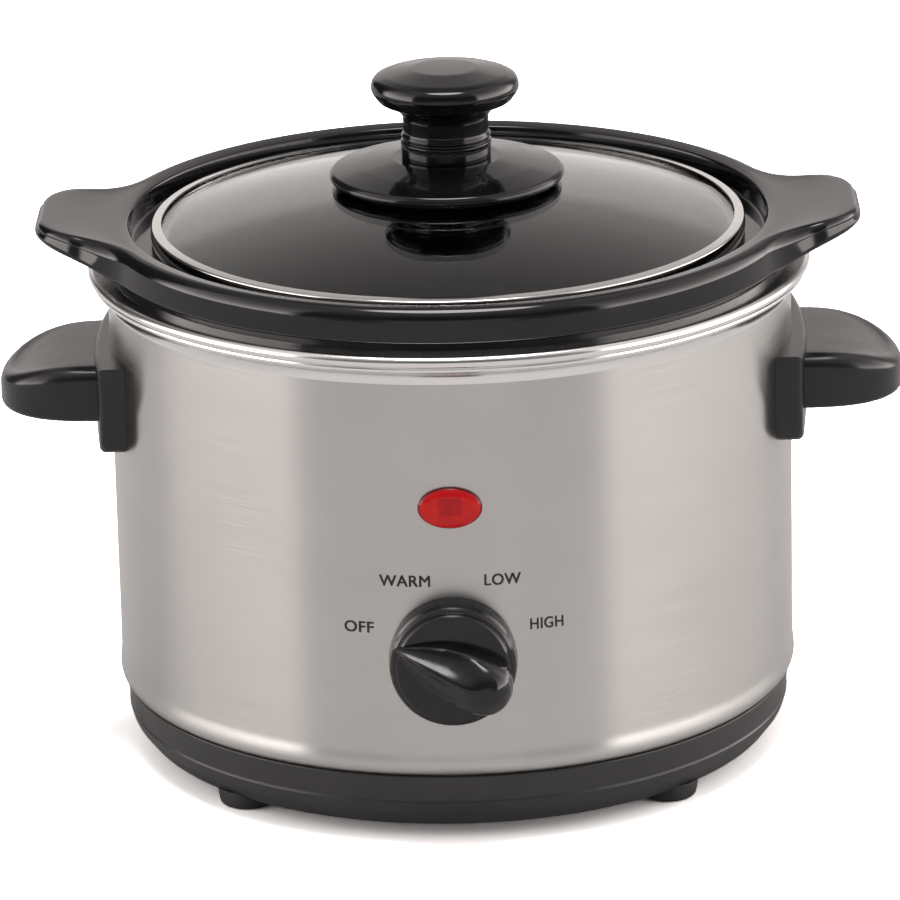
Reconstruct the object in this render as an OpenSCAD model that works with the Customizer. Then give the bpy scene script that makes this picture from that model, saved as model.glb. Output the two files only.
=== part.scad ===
/* Round countertop slow cooker: lift-out crock, glass lid, rotary heat control. Millimetres, +Z up. */

/* [Frame] */
// distance of the body axis behind the middle of the overall depth
axis_y = 7; // [0:0.5:12]

/* [Body] */
// outer radius of the steel wrap
body_r = 95; // [85:1:120]
// thickness of the steel wrap
wrap_t = 0.6; // [0.4:0.1:1.2]
// height of the top of the plastic base
base_z = 20; // [14:1:30]
// height of the underside of the plastic base
base_under = 5; // [4:0.5:9]
// wall thickness of the plastic base
base_t = 2.5; // [2:0.25:4]
// height where the polished rim starts
seam_z = 132; // [110:1:150]
// height of the top of the vessel rim
rim_z = 140.2; // [120:0.2:160]
// largest radius of the vessel rim
rim_r = 100.2; // [95:0.2:125]

/* [Feet] */
// distance of each foot from the body axis
foot_pitch = 82; // [70:1:84]
// radius of a foot at its top
foot_r = 8.4; // [6:0.2:11]

/* [Heating vessel] */
// outer radius of the vessel wall
vessel_r = 85; // [78:0.5:90]
// sheet thickness of the vessel
vessel_t = 0.8; // [0.5:0.1:1.2]
// height of the underside of the vessel floor
vessel_z = 64; // [58:1:70]
// lower edge of the band heater
band_z = 74; // [72:1:90]
// height of the band heater
band_h = 44; // [20:1:50]

/* [Crock] */
// outer radius of the crock wall
crock_r = 81.5; // [75:0.5:83]
// wall thickness of the crock
crock_t = 5; // [3.5:0.5:8]
// underside of the crock
crock_z = 67.3; // [66:0.1:72]
// outer radius of the crock flange
flange_r = 96.8; // [92:0.2:110]
// top of the crock flange
flange_top = 151.3; // [145:0.1:160]
// radius of the lid recess
recess_r = 88.3; // [85:0.1:92]
// height of the ledge that carries the lid
seat_z = 145.5; // [142:0.1:148]
// distance of a lug tip from the body axis
lug_x = 114; // [105:0.5:125]
// width of a lug
lug_w = 55; // [40:1:70]

/* [Lid] */
// outer radius of the steel lid ring
lid_r = 82.4; // [78:0.1:86]
// height of the steel lid ring
lid_ring_h = 4.8; // [3:0.1:6]
// radius of the top of the glass dome
dome_r = 265; // [200:5:400]
// height of the top of the glass dome
dome_z = 162; // [158:0.5:170]
// thickness of the glass
glass_t = 3; // [2.5:0.25:5]
// radius of the flange under the lid knob
disc_r = 32.85; // [25:0.25:40]
// radius of the lid knob
cap_r = 20.75; // [16:0.25:26]
// height of the top of the lid knob
cap_top = 193; // [185:0.5:205]

/* [Side handles] */
// distance of a handle tip from the body axis
handle_x = 126; // [115:0.5:140]
// half of a handle's width
handle_w = 27; // [20:0.5:35]
// half of a mounting plate's width
plate_w = 32.5; // [29:0.5:36]
// underside of the mounting plate
handle_low = 90; // [80:0.5:98]
// underside of the handle ledge
ledge_low = 100; // [95:0.5:105]
// top of the handle
handle_top = 115.5; // [110:0.5:120]

/* [Control] */
// height of the control knob's axis
dial_z = 54.6; // [48:0.2:60]
// radius of the control knob
dial_r = 17.3; // [14:0.1:22]
// direction of the pointer at rest, from the +X side
dial_rest = 157.5; // [150:0.5:165]
// height of the indicator lens
lamp_z = 97.2; // [90:0.2:105]
// width of the indicator lens
lamp_w = 17.3; // [12:0.1:24]
// height of the indicator lens face
lamp_h = 11.5; // [8:0.1:16]

/* [Cord bushing] */
// height of the bushing's axis
bush_z = 38; // [32:1:50]
// radius of the bore through the bushing
bush_bore = 3.6; // [2.5:0.1:5]

/* [Hidden] */
$fn = 96;
// wrap and base
wrap_in = body_r - wrap_t;
curl_r = 3.5;
floor_z = base_under + base_t;
spigot_out = body_r - 5.5;
spigot_in = spigot_out - 1.5;
spigot_top = base_z + 4;
foot_screw_r = 1.6;
vent_r = 30;
// centre stud that ties the vessel, the shield and the base together
stud_r = 2;
stud_gap = 0.2;
boss_r = 8;
recess_top = 10.5;
washer_t = 1;
shield_z = 34;
shield_t = 0.6;
shield_r = 70;
tag_t = 0.8;
nut_h = 3.2;
// vessel, band heater and its clamp, thermal fuse
vessel_corner = 14;
rim_bead = 1.6;
clamp_y = 90;
clamp_z = band_z + 22;
clamp_r = 1.5;
fuse_x = 30;
fuse_y = 20;
fuse_z = vessel_z - 2.7;
// handles
screw_r = 1.75;
handle_screw_a = 8.5;
handle_screw_z = 109;
plate_t = 1;
plate_out = 98.4;
plate_bow = 200;
plate_corner = 4.5;
ledge_root = 97;
// switch, its bracket and the control knob
switch_face = -86;
switch_back = -73;
switch_h = 18;
switch_w = 22;
bracket_t = 1.2;
bracket_w = 20;
bracket_z = 16;
bracket_x = 6;
bracket_y = -79;
small_screw_r = 1.3;
bush_thread_r = 4.5;
shaft_r = 3;
shaft_gap = 0.3;
shaft_flat = 2.2;
rotor_r = 7;
rotor_y = -84;
knob_back = -95.6;
knob_face = -104.5;
knob_in = 14.4;
grip_y = -116;
// indicator
lens_back = -89.4;
lens_face = -97.2;
neon_y = -92.4;
lamp_lead_x = 12.6;
lamp_lead_y = -88.3;
// wiring
lead_r = 1.2;
block_y = 52;
block_z = 12;
block_w = 30;
block_d = 16;
block_h = 12;
block_screw_x = 5;
terminals = [-10, 0, 10];
terminal_r = 1.6;
wire_z = block_z + 3.5;
// crock and lid
crock_floor = crock_z + 6;
glass_edge_r = lid_r - 1;
glass_hole_r = 3.2;
leg_in = lid_r - 2.6;
dome_cz = dome_z - dome_r;
stem_z = 167.5;
lid_washer_z = 155.6;
seal_z = lid_washer_z + 1;

// points along an arc, for turned outlines
function arc(cx, cy, r, a0, a1, n) =
    [for (i = [0:n]) let (a = a0 + (a1 - a0) * i / n) [cx + r * cos(a), cy + r * sin(a)]];

module on_axis() translate([0, axis_y, 0]) children();
module along_y(y0, y1, r, x = 0, z = 0) translate([x, y1, z]) rotate([90, 0, 0]) cylinder(h = y1 - y0, r = r);
module along_x(x0, x1, r, y = 0, z = 0) translate([x0, y, z]) rotate([0, 90, 0]) cylinder(h = x1 - x0, r = r);
module at_feet() for (a = [45:90:315]) rotate([0, 0, a]) translate([foot_pitch, 0, 0]) children();
module hex_nut(flat_r, bore, h) difference() {
    cylinder(h = h, r = flat_r / cos(30), $fn = 6);
    translate([0, 0, -1]) cylinder(h = h + 2, r = bore);
}
// an insulated wire through a list of points
module lead(points, r = lead_r) {
    for (i = [0:len(points) - 2]) {
        d = points[i + 1] - points[i];
        translate(points[i]) rotate([0, acos(d[2] / norm(d)), atan2(d[1], d[0])])
            cylinder(h = norm(d), r = r);
    }
    for (i = [1:len(points) - 2]) translate(points[i]) sphere(r = r * 1.2);
}
// a centred oval, drawn as a polygon
module oval(w, h) polygon([for (a = [0:10:350]) [w / 2 * cos(a), h / 2 * sin(a)]]);
// an oval plug along Y at the indicator's height
module oval_y(y0, y1, w, h) translate([0, y1, lamp_z]) rotate([90, 0, 0]) linear_extrude(y1 - y0) oval(w, h);

module base_pan() color("#3b3b3d") on_axis() difference() {
    union() {
        rotate_extrude() polygon(concat([[0, base_under]],
            arc(body_r - 9, base_under + 6.5, 6.5, -90, -10, 8),
            [[body_r - 2.2, base_z - 8], [body_r - 1.6, base_z - 7.4], [body_r - 1.1, base_z],
             [spigot_out, base_z], [spigot_out, spigot_top], [spigot_in, spigot_top],
             [spigot_in, base_z - 2.5],
             [spigot_in + 2.8, base_z - 5.3], [spigot_in + 2.8, floor_z + 2], [spigot_in + 0.8, floor_z],
             [0, floor_z]]));
        // bosses for the feet, the tie stud, the switch bracket and the terminal block
        at_feet() translate([0, 0, floor_z - 1]) cylinder(h = 8, r = 5);
        translate([0, 0, base_under + 1]) cylinder(h = recess_top - base_under + 3, r = 12);
        translate([0, 0, base_under + 1]) cylinder(h = shield_z - base_under - 1, r = boss_r);
        for (x = [-bracket_x, bracket_x]) translate([x, bracket_y, floor_z - 1])
            cylinder(h = bracket_z - floor_z + 1, r = 3.6);
        translate([block_screw_x, block_y, floor_z - 1]) cylinder(h = block_z - floor_z + 1, r = 5);
    }
    at_feet() translate([0, 0, base_under - 1]) cylinder(h = 9, r = foot_screw_r);
    translate([0, 0, base_under - 1]) cylinder(h = recess_top - base_under + 1, r = boss_r - 0.6);
    translate([0, 0, recess_top - 1]) cylinder(h = shield_z, r = stud_r + 0.4);
    for (x = [-bracket_x, bracket_x]) translate([x, bracket_y, bracket_z - 7])
        cylinder(h = 9, r = small_screw_r);
    translate([block_screw_x, block_y, floor_z]) cylinder(h = 9, r = small_screw_r);
    // cooling slots
    for (a = [0:30:180]) rotate([0, 0, a]) translate([vent_r, -1.5, base_under - 1])
        cube([12, 3, base_t + 2]);
}

module feet() color("#1c1c1d") on_axis() at_feet() difference() {
    rotate_extrude() polygon(concat([[0, 0]], arc(foot_r - 2.6, 1.8, 1.8, -90, -10, 5), [[foot_r, base_under],
        [0, base_under]]));
    translate([0, 0, -1]) cylinder(h = 3.4, r = 3.6);
    cylinder(h = base_under + 1, r = 1.9);
}

module foot_screws() color("#a9abad") on_axis() at_feet() {
    translate([0, 0, 0.8]) cylinder(h = 1.6, r = 3.2);
    translate([0, 0, 2.3]) cylinder(h = 10, r = foot_screw_r);
}

module outer_wrap() color("#b9b9b7") on_axis() difference() {
    rotate_extrude() polygon(concat([[body_r, rim_z - 0.8]],
        arc(body_r - curl_r, base_z + curl_r, curl_r, 0, -90, 8),
        [[body_r - 5, base_z], [body_r - 5, base_z + wrap_t]],
        arc(body_r - curl_r, base_z + curl_r, curl_r - wrap_t, -90, 0, 8), [[wrap_in, rim_z - 0.8]]));
    along_y(-body_r - 1, -80, bush_thread_r + 0.3, z = dial_z);
    oval_y(-body_r - 1, -80, lamp_w - 1.6, lamp_h - 1.6);
    translate([-6.45, 80, bush_z - 6.45]) cube([12.9, body_r - 79, 12.9]);
    for (s = [0, 180], a = [-handle_screw_a, handle_screw_a]) rotate([0, 0, s + a])
        along_x(80, body_r + 1, screw_r + 0.3, z = handle_screw_z);
}

module heating_vessel() color("#c9cacc") on_axis() union() {
    rotate_extrude() polygon(concat([[0, vessel_z]],
        arc(vessel_r - vessel_corner, vessel_z + vessel_corner, vessel_corner, -90, 0, 8),
        [[vessel_r, rim_z - vessel_t]],
        arc(rim_r - rim_bead, rim_z - rim_bead, rim_bead - vessel_t, 90, -80, 8),
        arc(body_r + 5.2, seam_z, 5.2, 112, 180, 6), arc(body_r + 5.2, seam_z, 4.5, 180, 105, 7),
        arc(rim_r - rim_bead, rim_z - rim_bead, rim_bead, -70, 90, 9), [[vessel_r - vessel_t, rim_z]],
        arc(vessel_r - vessel_corner, vessel_z + vessel_corner, vessel_corner - vessel_t, 0, -90, 8),
        [[0, vessel_z + vessel_t]]));
    translate([0, 0, base_under + 1]) cylinder(h = vessel_z - base_under - 0.8, r = stud_r);
    translate([0, 0, vessel_z - 2.4]) cylinder(h = 2.6, r = 5);
}

module tie_washer() color("#a9abad") on_axis() translate([0, 0, recess_top - 0.5 - washer_t]) difference() {
    cylinder(h = washer_t, r = 6.8);
    translate([0, 0, -1]) cylinder(h = washer_t + 2, r = stud_r + stud_gap);
}

module stud_nuts() color("#9c9ea0") on_axis() {
    translate([0, 0, recess_top - 0.5 - washer_t - nut_h]) hex_nut(3.5, stud_r, nut_h);
    translate([0, 0, shield_z + shield_t + tag_t]) hex_nut(3.5, stud_r, nut_h);
}

module heat_shield() color("#c3c6c8") on_axis() difference() {
    union() {
        translate([0, 0, shield_z]) cylinder(h = shield_t, r = shield_r);
        translate([0, 0, shield_z]) difference() {
            cylinder(h = 6, r = shield_r);
            translate([0, 0, -1]) cylinder(h = 8, r = shield_r - shield_t);
        }
    }
    translate([0, 0, shield_z - 1]) cylinder(h = 3, r = stud_r + stud_gap);
    // holes for the leads
    for (x = [-22, 0, 22]) translate([x, 40, shield_z - 1]) cylinder(h = 3, r = 4);
}

module heater_band() color("#9b9a94") on_axis() {
    rotate([0, 0, 97]) rotate_extrude(angle = 346) translate([vessel_r, band_z]) square([2.2, band_h]);
    for (s = [-1, 1]) difference() {
        rotate([0, 0, 90 - s * 7]) translate([vessel_r + 1, s > 0 ? -1.2 : 0, band_z + 12])
            cube([7, 1.2, 20]);
        along_x(-20, 20, clamp_r + 0.2, y = clamp_y, z = clamp_z);
    }
    // terminal pins
    for (a = [60, 120]) rotate([0, 0, a]) along_x(vessel_r + 1, vessel_r + 5, 1.6, z = band_z + 5);
}

module clamp_screw() color("#a9abad") on_axis() {
    along_x(-15.4, 15.6, clamp_r, y = clamp_y, z = clamp_z);
    along_x(12.8, 15.8, 2.6, y = clamp_y, z = clamp_z);
}

module clamp_nut() color("#9c9ea0") on_axis() translate([-14.8, clamp_y, clamp_z]) rotate([0, 90, 0])
    hex_nut(2.6, clamp_r, 2);

module thermal_fuse() color("#d8d4c8") on_axis() {
    along_x(fuse_x - 6, fuse_x + 6, 2.2, y = fuse_y, z = fuse_z);
    along_x(fuse_x - 9, fuse_x + 9, 0.6, y = fuse_y, z = fuse_z);
}

module fuse_clip() color("#b5b7b9") on_axis() translate([fuse_x - 2.5, fuse_y, fuse_z])
    rotate([90, 0, 90]) linear_extrude(5) {
    difference() {
        circle(r = 2.8);
        circle(r = 2.2);
        translate([-4, 1.2]) square([8, 4]);
    }
    for (s = [-1, 1]) translate([s > 0 ? 2.3 : -2.8, 0]) square([0.5, 2.7]);
    for (s = [-1, 1]) translate([s > 0 ? 2.3 : -7, 2.1]) square([4.7, 0.6]);
}

module side_handle() difference() {
    union() {
        // mounting plate with rounded lower corners and a slightly bowed face
        intersection() {
            rotate([90, 0, 90]) translate([0, 0, body_r - 12]) linear_extrude(plate_out - body_r + 12)
                polygon(concat([[-plate_w, handle_top]],
                    arc(plate_corner - plate_w, handle_low + plate_corner, plate_corner, 180, 270, 4),
                    arc(plate_w - plate_corner, handle_low + plate_corner, plate_corner, -90, 0, 4),
                    [[plate_w, handle_top]]));
            translate([plate_out - plate_bow, 0, handle_low - 1])
                cylinder(h = 40, r = plate_bow, $fn = 360);
        }
        // ledge: half-oval in plan, tapering to a rounded nose
        intersection() {
            translate([0, 0, ledge_low - 1]) linear_extrude(handle_top - ledge_low + 2)
                polygon(concat([for (a = [-90:7.5:90])
                    [ledge_root + (handle_x - ledge_root + 0.6) * cos(a), handle_w * sin(a)]],
                    [[body_r - 4, handle_w], [body_r - 4, -handle_w]]));
            rotate([90, 0, 0]) translate([0, 0, -handle_w - 1]) linear_extrude(2 * handle_w + 2)
                polygon(concat([[body_r - 4, ledge_low], [handle_x - 7, ledge_low]],
                    arc(handle_x - 4.6, ledge_low + 4.6, 4.6, -60, 60, 6),
                    [[handle_x - 7.5, handle_top - 6.2], [handle_x - 16, handle_top - 2.6],
                    [plate_out + 2, handle_top - 0.3], [body_r - 4, handle_top]]));
        }
    }
    translate([0, 0, handle_low - 1]) cylinder(h = 40, r = body_r);
    // hollow under the ledge
    translate([0, 0, ledge_low - 1]) linear_extrude(7)
        polygon([for (a = [-68:8.5:68])
            [ledge_root + (handle_x - ledge_root - 4) * cos(a), (handle_w - 4) * sin(a)]]);
    // screw holes
    for (a = [-handle_screw_a, handle_screw_a]) rotate([0, 0, a])
        along_x(body_r - 4, 103.6, screw_r, z = handle_screw_z);
}

module handle_left() color("#242426") on_axis() rotate([0, 0, 180]) side_handle();
module handle_right() color("#242426") on_axis() side_handle();

module handle_plates() color("#a9abad") on_axis() for (s = [0, 180]) rotate([0, 0, s]) difference() {
    rotate([0, 0, -12]) rotate_extrude(angle = 24) translate([wrap_in - plate_t, handle_screw_z - 5])
        square([plate_t, 10]);
    for (a = [-handle_screw_a, handle_screw_a]) rotate([0, 0, a])
        along_x(80, body_r, screw_r + 0.2, z = handle_screw_z);
}

module handle_screws() color("#8f9193") on_axis()
    for (s = [0, 180], a = [-handle_screw_a, handle_screw_a]) rotate([0, 0, s + a]) {
    along_x(wrap_in - plate_t - 0.5, 103.4, screw_r, z = handle_screw_z);
    along_x(wrap_in - plate_t - 2, wrap_in - plate_t - 0.1, 3.2, z = handle_screw_z);
}

module switch_bracket() color("#b0b2b4") on_axis() difference() {
    union() {
        translate([-bracket_w / 2, switch_face - bracket_t, bracket_z]) cube([bracket_w, bracket_t, 50]);
        translate([-bracket_w / 2, switch_face - bracket_t, bracket_z]) cube([bracket_w, 14, bracket_t]);
    }
    along_y(-90, -80, bush_thread_r, z = dial_z);
    for (x = [-bracket_x, bracket_x]) translate([x, bracket_y, bracket_z - 1]) cylinder(h = 4, r = 1.7);
}

module bracket_screws() color("#8f9193") on_axis() for (x = [-bracket_x, bracket_x])
    translate([x, bracket_y, bracket_z]) {
    translate([0, 0, -6]) cylinder(h = bracket_t + 6.5, r = small_screw_r);
    translate([0, 0, bracket_t]) cylinder(h = 1.8, r = 2.8);
}

module switch_body() color("#c8b48a") on_axis() difference() {
    union() {
        translate([-switch_w / 2, switch_face, dial_z - switch_h / 2])
            cube([switch_w, switch_back - switch_face, switch_h]);
        along_y(-99.5, switch_face + 1, bush_thread_r, z = dial_z);
        for (x = [-6, 6]) translate([x - 1.6, switch_back - 1, dial_z - 7]) cube([3.2, 5, 0.8]);
    }
    along_y(-100, switch_back - 3, shaft_r + shaft_gap, z = dial_z);
    along_y(rotor_y - 0.6, rotor_y + 6.6, rotor_r + 0.5, z = dial_z);
}

module switch_nut() color("#b3a164") on_axis() translate([0, -body_r - 0.05, dial_z]) rotate([90, 0, 0])
    hex_nut(6, bush_thread_r, 2.4);

module indicator_lens() color("#d01818") on_axis() difference() {
    union() {
        difference() {
            union() {
                oval_y(-96.2, -90, lamp_w, lamp_h);
                oval_y(lens_face, -96, lamp_w - 4, lamp_h - 4);
            }
            translate([0, 0, lamp_z - 10]) cylinder(h = 20, r = body_r);
        }
        oval_y(-95.8, lens_back, lamp_w - 2, lamp_h - 2);
    }
    oval_y(-95.4, lens_back + 1, lamp_w - 4.4, lamp_h - 4.4);
}

module indicator_clip() color("#b5b7b9") on_axis() difference() {
    translate([-11, -93.2, lamp_z - 8]) cube([22, 0.5, 16]);
    oval_y(-95, -90, lamp_w - 2, lamp_h - 2);
}

module neon_lamp() color("#f0c0a0") on_axis() {
    along_x(-4.6, 4.6, 2.1, y = neon_y, z = lamp_z);
    along_x(-5.4, 5.4, 0.5, y = neon_y, z = lamp_z);
}

module lamp_leads() color("#e8e4da") on_axis() for (s = [-1, 1])
    lead([[s * 5.6, -91.8, lamp_z], [s * 5.8, lamp_lead_y, lamp_z - 0.4],
        [s * lamp_lead_x, lamp_lead_y, lamp_z - 12], [s * lamp_lead_x, lamp_lead_y, 42],
        [s * lamp_lead_x, -70.5, 42], [s * 8, -70.5, 45.4]], 0.7);

module terminal_block() color("#e6e2d8") on_axis() difference() {
    translate([-block_w / 2, block_y - block_d / 2, block_z]) cube([block_w, block_d, block_h]);
    for (x = terminals) translate([x, block_y + 4, block_z + 4]) cylinder(h = 9, r = terminal_r);
    for (x = terminals) along_y(block_y - 9, block_y + 9, 1.5, x = x, z = wire_z);
    translate([block_screw_x, block_y, block_z - 1]) cylinder(h = block_h + 2, r = 1.6);
}

module terminal_screws() color("#b3a164") on_axis() for (x = terminals)
    translate([x, block_y + 4, block_z + 6]) cylinder(h = 5, r = terminal_r);

module block_screw() color("#8f9193") on_axis() translate([block_screw_x, block_y, block_z]) {
    translate([0, 0, -4]) cylinder(h = block_h + 4.2, r = small_screw_r);
    translate([0, 0, block_h]) cylinder(h = 1.6, r = 2.4);
}

module lead_live() color("#8b5a2b") on_axis()
    lead([[terminals[0], block_y - 7, wire_z], [-10, 38, wire_z], [-22, 40, 28], [-22, 40, 42],
        [-20, 32, 46], [-5.5, -67, 46.8]]);

module lead_heater() color("#e8e4da") on_axis()
    lead([[5.5, -67, 46.2], [5, -60, 51], [-44, 62, 53], [-46.2, 80, 56], [-46.2, 80, band_z + 1.6]]);

module lead_neutral() color("#3a62a8") on_axis() {
    lead([[terminals[2], block_y - 7, wire_z], [10, 40, wire_z], [22, 40, 26], [22, 40, 52],
        [42, 30, 58], [43, fuse_y, fuse_z], [fuse_x + 9.2, fuse_y, fuse_z]]);
    lead([[fuse_x - 9.2, fuse_y, fuse_z], [fuse_x - 14, fuse_y + 2, fuse_z - 1], [fuse_x, 50, 57],
        [46.2, 80, 58], [46.2, 80, band_z + 1.6]]);
}

module lead_earth() color("#4c8c3a") on_axis()
    lead([[terminals[1], block_y - 7, wire_z], [0.4, 40, block_z + 5], [0.2, 39, shield_z + 6],
        [0.3, 15, shield_z + 2.8]]);

module earth_tag() color("#b3a164") on_axis() translate([0, 0, shield_z + shield_t]) difference() {
    union() {
        cylinder(h = tag_t, r = 4.6);
        translate([-2.2, 0, 0]) cube([4.4, 17, tag_t]);
    }
    translate([0, 0, -1]) cylinder(h = tag_t + 2, r = stud_r);
}

module cord_bushing() color("#1c1c1d") on_axis() difference() {
    union() {
        along_y(88, 102, 5.6, z = bush_z);
        along_y(90.5, 93.8, 8.6, z = bush_z);
        along_y(93, 96, 6.4, z = bush_z);
        along_y(body_r, 98, 9.6, z = bush_z);
    }
    along_y(87, 103, bush_bore, z = bush_z);
}

module rating_plate() color("#c9cacc") on_axis() translate([-20, -58, base_under - 0.4]) cube([40, 22, 0.4]);

// leaf-shaped grip outline, pointing along +X
module grip_outline(w, l) union() {
    translate([-l * 0.5, 0]) circle(r = w);
    hull() {
        translate([-l * 0.35, 0]) circle(r = w * 0.98);
        translate([l * 0.3, 0]) circle(r = w * 0.55);
        translate([l - 1, 0]) circle(r = 0.6);
    }
}

module control_knob() color("#1e1e20") on_axis() translate([0, 0, dial_z]) rotate([90, 0, 0]) difference() {
    union() {
        rotate_extrude() polygon([[0, -knob_face], [dial_r - 2.3, -knob_face],
            [dial_r - 1.6, -knob_face - 0.5], [dial_r - 0.4, -knob_back + 3], [dial_r, -knob_back + 2.4],
            [dial_r, -knob_back], [knob_in, -knob_back], [knob_in, 100.5], [5, 100.5], [5, 100], [0, 100]]);
        rotate([0, 0, dial_rest]) translate([0, 0, -knob_face - 1]) linear_extrude(7.5)
            grip_outline(6.6, 15.4);
        rotate([0, 0, dial_rest]) translate([0, 0, -knob_face + 5]) linear_extrude(-grip_y + knob_face - 5)
            grip_outline(4.4, 13);
    }
    translate([0, 0, 99]) linear_extrude(13) difference() {
        circle(r = shaft_r);
        translate([-5, 2.7]) square([10, 4]);
    }
}

module knob_spring() color("#b5b7b9") on_axis() translate([-1.25, -110, dial_z + shaft_flat])
    cube([2.5, 9, 0.5]);

module switch_shaft() color("#b3b5b7") on_axis() difference() {
    along_y(-111.5, -77.4, shaft_r, z = dial_z);
    translate([-5, -112, dial_z + shaft_flat]) cube([10, 12, 4]);
}

module switch_rotor() color("#5a4632") on_axis() difference() {
    union() {
        along_y(rotor_y, rotor_y + 6, rotor_r - 1, z = dial_z);
        for (a = [0:90:270]) translate([0, rotor_y + 6, dial_z]) rotate([90, 0, 0]) rotate([0, 0, a])
            translate([rotor_r - 2, -1, 1]) cube([2, 2, 4]);
    }
    along_y(rotor_y - 1, rotor_y + 7, shaft_r, z = dial_z);
}

// plan of the crock flange with one lug along +X, filleted into the rim
module lug_plan() {
    fillet = 12;
    corner = 12;
    half = lug_w / 2;
    cy = half + fillet;
    cx = sqrt(pow(flange_r + fillet, 2) - cy * cy);
    translate([60, -half]) square([lug_x - corner - 60, lug_w]);
    translate([60, -half + corner]) square([lug_x - 60, lug_w - 2 * corner]);
    for (s = [-1, 1]) translate([lug_x - corner, s * (half - corner)]) circle(r = corner);
    for (s = [-1, 1]) difference() {
        polygon([[70, 0], [cx, 0], [cx, s * half],
            [cx * flange_r / (flange_r + fillet), s * cy * flange_r / (flange_r + fillet)]]);
        translate([cx, s * cy]) circle(r = fillet);
    }
}

module crock() color("#18181a") on_axis() {
    // bowl: wall, flange with the lid's recess, and the round corner of the floor
    rotate_extrude() polygon(concat([[0, crock_z]], arc(crock_r - 13, crock_z + 12, 12, -90, -5, 7),
        [[crock_r, rim_z - 8], [crock_r + 1, rim_z], [93, rim_z], [flange_r - 2.6, rim_z + 2.4]],
        arc(flange_r - 1.4, rim_z + 4.2, 1.4, -60, 0, 3),
        arc(flange_r - 4.6, flange_top - 4.6, 4.6, 0, 90, 6),
        arc(recess_r + 1.6, flange_top - 3.4, 1.6, 110, 180, 3),
        [[recess_r - 0.4, seat_z + 1], [recess_r - 1.4, seat_z], [crock_r - crock_t + 1, seat_z],
        [crock_r - crock_t, seat_z - 1]],
        arc(crock_r - crock_t - 11.5, crock_floor + 11, 11, 0, -90, 7), [[0, crock_floor]]));
    // lugs, rising towards their tips
    for (s = [0, 180]) rotate([0, 0, s]) difference() {
        intersection() {
            translate([0, 0, rim_z]) linear_extrude(20) lug_plan();
            rotate([90, 0, 0]) translate([0, 0, -60]) linear_extrude(120)
                polygon(concat([[60, rim_z + 3.4], [93, rim_z + 3.4], [100, rim_z + 5], [107, rim_z + 8.4]],
                    arc(lug_x - 2, flange_top + 0.7, 2, -70, 80, 5), [[104, flange_top + 1.8],
                    [96, flange_top + 0.4], [90, flange_top - 1.2], [60, flange_top - 1.2]]));
        }
        translate([0, 0, rim_z - 1]) cylinder(h = 30, r = recess_r + 3);
    }
}

module lid_glass() color("#c8d4d4", 0.4) on_axis() rotate_extrude() difference() {
    intersection() {
        translate([0, dome_cz]) circle(r = dome_r, $fn = 720);
        translate([glass_hole_r, 140]) square([glass_edge_r - glass_hole_r, 40]);
    }
    translate([0, dome_cz]) circle(r = dome_r - glass_t, $fn = 720);
}

module lid_ring() color("#c9cacc") on_axis() difference() {
    translate([0, 0, seat_z]) cylinder(h = lid_ring_h, r = lid_r);
    translate([0, 0, seat_z - 1]) cylinder(h = lid_ring_h + 2, r = leg_in);
    translate([0, 0, seat_z + 0.5]) cylinder(h = lid_ring_h - 1, r = glass_edge_r);
}

module lid_flange() color("#1a1a1c") on_axis() difference() {
    rotate_extrude() polygon(concat([[glass_hole_r, 150], [20, 150], [20, dome_z - 0.5],
        [disc_r - 1.2, dome_z - 0.3]], arc(disc_r - 1.6, dome_z + 1.2, 1.6, -70, 70, 6),
        [[24, stem_z - 1.3], [15, stem_z], [glass_hole_r, stem_z]]));
    translate([0, 0, dome_cz]) rotate_extrude() difference() {
        circle(r = dome_r + 0.05, $fn = 720);
        translate([-dome_r - 1, -dome_r - 1]) square([dome_r + 1, 2 * dome_r + 2]);
    }
}

module lid_knob() color("#1a1a1c") on_axis() difference() {
    // stem with a groove, then the wide cap
    rotate_extrude() polygon(concat([[0, stem_z], [12.4, stem_z], [12.6, 172.2], [12, 172.7], [12, 173.2],
        [12.4, 173.7], [11.8, 174.4], [12.1, 179]], arc(14.6, 182, 3.4, 205, 255, 3),
        arc(cap_r - 3.4, 186.6, 3.4, -62, 62, 7), arc(0, cap_top - 56, 56, 71, 90, 5)));
    translate([0, 0, 160]) cylinder(h = 19, r = stud_r);
}

module lid_screw() color("#a9abad") on_axis() {
    translate([0, 0, lid_washer_z - 0.2]) cylinder(h = 22, r = stud_r);
    translate([0, 0, lid_washer_z - 2.4]) cylinder(h = 2.4, r = 4);
}

module lid_washer() color("#b5b7b9") on_axis() translate([0, 0, lid_washer_z]) difference() {
    cylinder(h = seal_z - lid_washer_z, r = 8);
    translate([0, 0, -1]) cylinder(h = 3, r = stud_r + stud_gap);
}

module lid_seal() color("#77787a") on_axis() difference() {
    translate([0, 0, seal_z]) cylinder(h = 2.2, r = 9);
    translate([0, 0, seal_z - 1]) cylinder(h = 6, r = stud_r + stud_gap);
}

base_pan();
feet();
foot_screws();
outer_wrap();
heating_vessel();
tie_washer();
stud_nuts();
heat_shield();
heater_band();
clamp_screw();
clamp_nut();
thermal_fuse();
fuse_clip();
handle_left();
handle_right();
handle_plates();
handle_screws();
switch_bracket();
bracket_screws();
switch_body();
switch_nut();
indicator_lens();
indicator_clip();
neon_lamp();
lamp_leads();
terminal_block();
terminal_screws();
block_screw();
lead_live();
lead_heater();
lead_neutral();
lead_earth();
earth_tag();
cord_bushing();
rating_plate();
control_knob();
knob_spring();
switch_shaft();
switch_rotor();
crock();
lid_glass();
lid_ring();
lid_flange();
lid_knob();
lid_screw();
lid_washer();
lid_seal();
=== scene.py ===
import math

import bmesh
import bpy
import numpy as np
from mathutils import Matrix, Vector


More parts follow.
